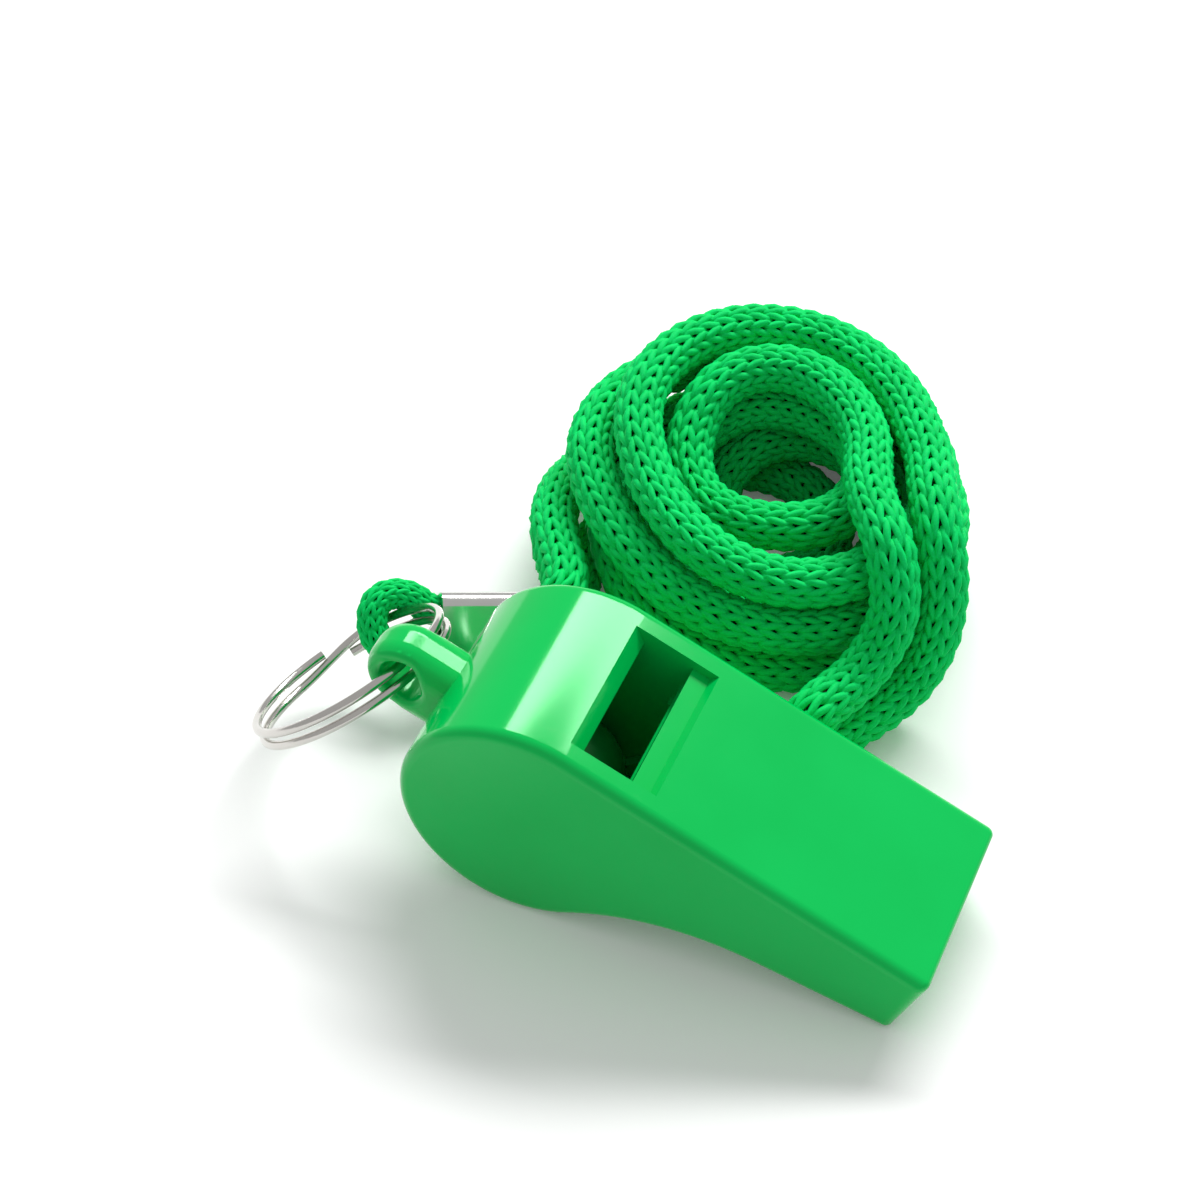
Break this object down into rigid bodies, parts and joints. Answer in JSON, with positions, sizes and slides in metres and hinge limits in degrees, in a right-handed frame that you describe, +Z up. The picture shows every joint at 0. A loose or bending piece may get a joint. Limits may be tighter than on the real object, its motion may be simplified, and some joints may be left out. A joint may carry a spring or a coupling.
{
  "type": "sports whistle",
  "caption": "Pea whistle with a round barrel, flat mouthpiece and sound window, on a split ring with a crimped knitted cord wound into a hank beside it",
  "frame": {"origin": "on the table, under the middle of the box round the whistle and its ring", "axes": "+X runs along the whistle from the ring to the mouthpiece, +Y goes from the near side wall to the cover and the hank of cord, +Z is up"},
  "size_m": [0.0658, 0.0661, 0.022],
  "materials": {
    "shell_plastic": "smooth glossy injection moulding",
    "pea_plastic": "satin foam ball",
    "ring_steel": "bright plated spring wire",
    "crimp_metal": "bright pressed sheet",
    "cord_knit": "knitted polyester cord with a slight sheen"
  },
  "bodies": {
    "whistle": {"whistle_body": "shell_plastic", "side_cover": "shell_plastic", "cord_lead_upper": "cord_knit", "cord_lead_lower": "cord_knit", "cord_coil": "cord_knit"},
    "pea": {"pea": "pea_plastic"},
    "ring": {"split_ring": "ring_steel", "cord_bight": "cord_knit", "crimp": "crimp_metal"}
  },
  "joints": [
    {"name": "pea_orbit", "type": "hinge", "parent": "whistle", "child": "pea", "pos_m": [-0.0038, -0.00115, 0.011], "axis": [0, 1, 0], "continuous": true},
    {"name": "ring_swing", "type": "hinge", "parent": "whistle", "child": "ring", "pos_m": [-0.01763, -0.00115, 0.01581], "axis": [0, 1, 0], "range_deg": [0, 60], "deforming": ["cord_lead_upper", "cord_lead_lower"]}
  ]
}
